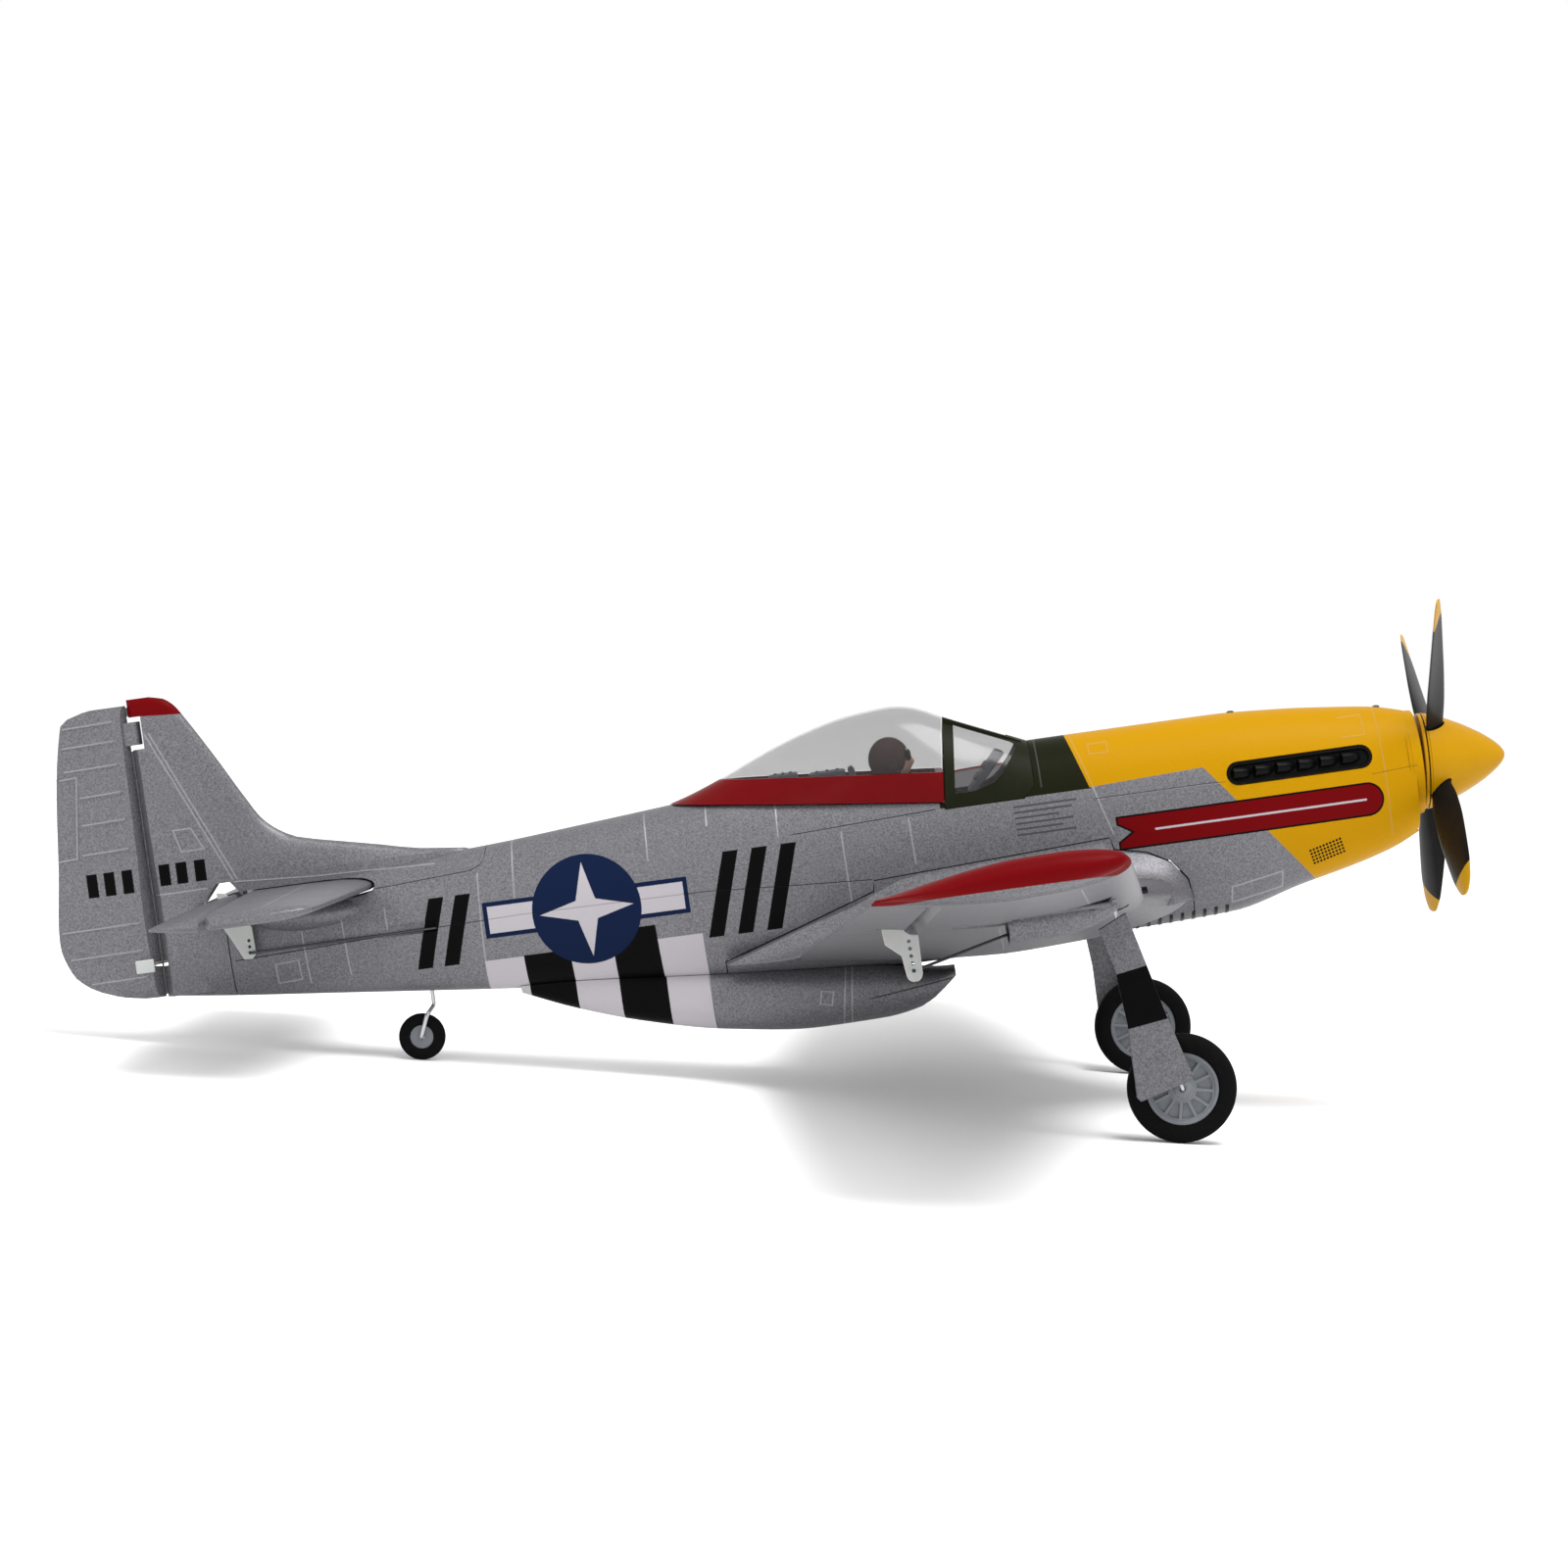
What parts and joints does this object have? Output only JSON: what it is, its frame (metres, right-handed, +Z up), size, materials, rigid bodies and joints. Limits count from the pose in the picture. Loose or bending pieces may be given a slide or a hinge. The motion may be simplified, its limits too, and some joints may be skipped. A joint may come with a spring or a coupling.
{
  "type": "rc foam airplane",
  "caption": "Micro radio-control foam warbird: low wing, four-blade propeller, clear lift-off canopy hatch, fixed wire landing gear and servo-driven control surfaces.",
  "frame": {"origin": "on the ground plane, at the middle of the overall length and on the centreline, the airplane standing on its three wheels", "axes": "+X towards the nose, level with the ground; +Y out along the port wing; +Z up. The fuselage reference line points 11.3 degrees nose-up."},
  "size_m": [0.4174, 0.493, 0.1511],
  "materials": {
    "silver_foam": "silver-painted bead foam, satin, fine grain",
    "yellow_paint": "glossy yellow paint on the nose and spinner",
    "red_paint": "satin red paint",
    "clear_canopy": "thin clear moulded plastic",
    "black_plastic": "smooth black plastic",
    "white_plastic": "translucent white moulded plastic",
    "tyre": "black foam rubber",
    "grey_plastic": "grey moulded plastic",
    "steel_wire": "spring steel wire",
    "motor_metal": "machined aluminium",
    "circuit_board": "green circuit board",
    "battery_wrap": "shrink-wrapped cells",
    "light_ply": "light plywood",
    "carbon": "pultruded carbon rod",
    "servo_case": "dark blue servo case",
    "figure_paint": "painted pilot figure"
  },
  "bodies": {
    "airframe": {"fuselage_left": "silver_foam", "fuselage_right": "silver_foam", "fin": "silver_foam", "stabilizer": "silver_foam", "wing_left": "silver_foam", "wing_right": "silver_foam", "wing_spar": "carbon", "radiator_scoop": "silver_foam", "servo_pod_left": "silver_foam", "servo_pod_right": "silver_foam", "aileron_servo_left": "servo_case", "aileron_servo_right": "servo_case", "equipment_tray": "light_ply", "battery_pack": "battery_wrap", "receiver_board": "circuit_board", "elevator_servo": "servo_case", "rudder_servo": "servo_case", "windscreen": "clear_canopy", "motor_stator": "motor_metal", "firewall": "light_ply", "exhaust_left": "black_plastic", "exhaust_right": "black_plastic", "gear_socket_left": "black_plastic", "gear_socket_right": "black_plastic", "gear_leg_left": "steel_wire", "gear_leg_right": "steel_wire", "gear_door_left": "silver_foam", "gear_door_right": "silver_foam"},
    "propeller_group": {"spinner": "yellow_paint", "spinner_backplate": "black_plastic", "propeller": "black_plastic", "motor_shaft": "steel_wire", "motor_bell": "black_plastic"},
    "aileron_left_group": {"aileron_left": "silver_foam", "aileron_horn_left": "white_plastic"},
    "aileron_right_group": {"aileron_right": "silver_foam", "aileron_horn_right": "white_plastic"},
    "elevator_group": {"elevator": "silver_foam", "elevator_horn": "white_plastic"},
    "rudder_group": {"rudder": "silver_foam", "rudder_horn": "white_plastic"},
    "aileron_servo_arm_left_group": {"aileron_servo_arm_left": "white_plastic"},
    "aileron_servo_arm_right_group": {"aileron_servo_arm_right": "white_plastic"},
    "elevator_servo_arm_group": {"elevator_servo_arm": "white_plastic"},
    "rudder_servo_arm_group": {"rudder_servo_arm": "white_plastic"},
    "aileron_pushrod_left_group": {"aileron_pushrod_left": "steel_wire"},
    "aileron_pushrod_right_group": {"aileron_pushrod_right": "steel_wire"},
    "elevator_pushrod_group": {"elevator_pushrod": "steel_wire"},
    "rudder_pushrod_group": {"rudder_pushrod": "steel_wire"},
    "main_wheel_left": {"main_tire_left": "tyre", "main_hub_left": "grey_plastic"},
    "main_wheel_right": {"main_tire_right": "tyre", "main_hub_right": "grey_plastic"},
    "tail_fork": {"tail_wheel_wire": "steel_wire"},
    "tail_wheel": {"tail_tire": "tyre", "tail_hub": "grey_plastic"},
    "canopy_hatch": {"canopy_glass": "clear_canopy", "hatch_rail": "red_paint", "cockpit_interior": "black_plastic", "pilot_bust": "figure_paint"}
  },
  "joints": [
    {"name": "propeller_spin", "type": "hinge", "parent": "airframe", "child": "propeller_group", "pos_m": [0.1838, 0, 0.10426], "axis": [0.9888, 0, 0.1495], "continuous": true},
    {"name": "aileron_left_hinge", "type": "hinge", "parent": "airframe", "child": "aileron_left_group", "pos_m": [0.0387, 0.15, 0.06208], "axis": [0.0414, 0.9893, 0.1396], "range_deg": [-20, 20]},
    {"name": "aileron_right_hinge", "type": "hinge", "parent": "airframe", "child": "aileron_right_group", "pos_m": [0.0387, -0.15, 0.06208], "axis": [-0.0414, 0.9893, -0.1396], "range_deg": [-20, 20]},
    {"name": "aileron_servo_left_turn", "type": "hinge", "parent": "airframe", "child": "aileron_servo_arm_left_group", "pos_m": [0.07258, 0.14751, 0.06966], "axis": [0.0414, 0.9893, 0.1396], "range_deg": [-46, 46]},
    {"name": "aileron_servo_right_turn", "type": "hinge", "parent": "airframe", "child": "aileron_servo_arm_right_group", "pos_m": [0.07258, -0.14751, 0.06966], "axis": [-0.0414, 0.9893, -0.1396], "range_deg": [-46, 46]},
    {"name": "aileron_pushrod_left_pivot", "type": "hinge", "parent": "aileron_left_group", "child": "aileron_pushrod_left_group", "pos_m": [0.04017, 0.15182, 0.04872], "axis": [0.0414, 0.9893, 0.1396], "range_deg": [-21, 21]},
    {"name": "aileron_pushrod_right_pivot", "type": "hinge", "parent": "aileron_right_group", "child": "aileron_pushrod_right_group", "pos_m": [0.04017, -0.15182, 0.04872], "axis": [-0.0414, 0.9893, -0.1396], "range_deg": [-21, 21]},
    {"name": "elevator_hinge", "type": "hinge", "parent": "airframe", "child": "elevator_group", "pos_m": [-0.15131, 0, 0.04311], "axis": [0, 1, 0], "range_deg": [-25, 25]},
    {"name": "elevator_servo_turn", "type": "hinge", "parent": "airframe", "child": "elevator_servo_arm_group", "pos_m": [0.02029, -0.0092, 0.0774], "axis": [0, 1, 0], "range_deg": [-26, 26]},
    {"name": "elevator_pushrod_pivot", "type": "hinge", "parent": "elevator_group", "child": "elevator_pushrod_group", "pos_m": [-0.14847, -0.0095, 0.02889], "axis": [0, 1, 0], "range_deg": [-26, 26]},
    {"name": "rudder_hinge", "type": "hinge", "parent": "airframe", "child": "rudder_group", "pos_m": [-0.17697, 0, 0.03217], "axis": [-0.1959, 0, 0.9806], "range_deg": [-25, 25]},
    {"name": "rudder_servo_turn", "type": "hinge", "parent": "airframe", "child": "rudder_servo_arm_group", "pos_m": [-0.0085, 0, 0.05666], "axis": [-0.1959, 0, 0.9806], "range_deg": [-26, 26]},
    {"name": "rudder_pushrod_pivot", "type": "hinge", "parent": "rudder_group", "child": "rudder_pushrod_group", "pos_m": [-0.1752, 0.011, 0.02335], "axis": [-0.1959, 0, 0.9806], "range_deg": [-26, 26]},
    {"name": "tail_fork_steer", "type": "hinge", "parent": "airframe", "child": "tail_fork", "pos_m": [-0.09598, 0, 0.01776], "axis": [-0.1959, 0, 0.9806], "range_deg": [-16, 16]},
    {"name": "tail_wheel_spin", "type": "hinge", "parent": "tail_fork", "child": "tail_wheel", "pos_m": [-0.09857, 0, 0.00677], "axis": [0, 1, 0], "continuous": true},
    {"name": "main_wheel_left_spin", "type": "hinge", "parent": "airframe", "child": "main_wheel_left", "pos_m": [0.1157, 0.0785, 0.01484], "axis": [0, 1, 0], "continuous": true},
    {"name": "main_wheel_right_spin", "type": "hinge", "parent": "airframe", "child": "main_wheel_right", "pos_m": [0.1157, -0.0785, 0.01484], "axis": [0, 1, 0], "continuous": true},
    {"name": "canopy_hatch_lift", "type": "slide", "parent": "airframe", "child": "canopy_hatch", "axis": [-0.1959, 0, 0.9806], "range_m": [0, 0.05]}
  ],
  "couplings": [
    {"joint": "aileron_right_hinge", "follows": "aileron_left_hinge", "ratio": -1},
    {"joint": "aileron_servo_left_turn", "follows": "aileron_left_hinge", "ratio": 2.25},
    {"joint": "aileron_servo_right_turn", "follows": "aileron_left_hinge", "ratio": -2.25},
    {"joint": "aileron_pushrod_left_pivot", "follows": "aileron_left_hinge", "ratio": -1},
    {"joint": "aileron_pushrod_right_pivot", "follows": "aileron_left_hinge", "ratio": 1},
    {"joint": "elevator_servo_turn", "follows": "elevator_hinge", "ratio": 1},
    {"joint": "elevator_pushrod_pivot", "follows": "elevator_hinge", "ratio": -1},
    {"joint": "rudder_servo_turn", "follows": "rudder_hinge", "ratio": 1},
    {"joint": "rudder_pushrod_pivot", "follows": "rudder_hinge", "ratio": -1},
    {"joint": "tail_fork_steer", "follows": "rudder_hinge", "ratio": 0.6}
  ]
}
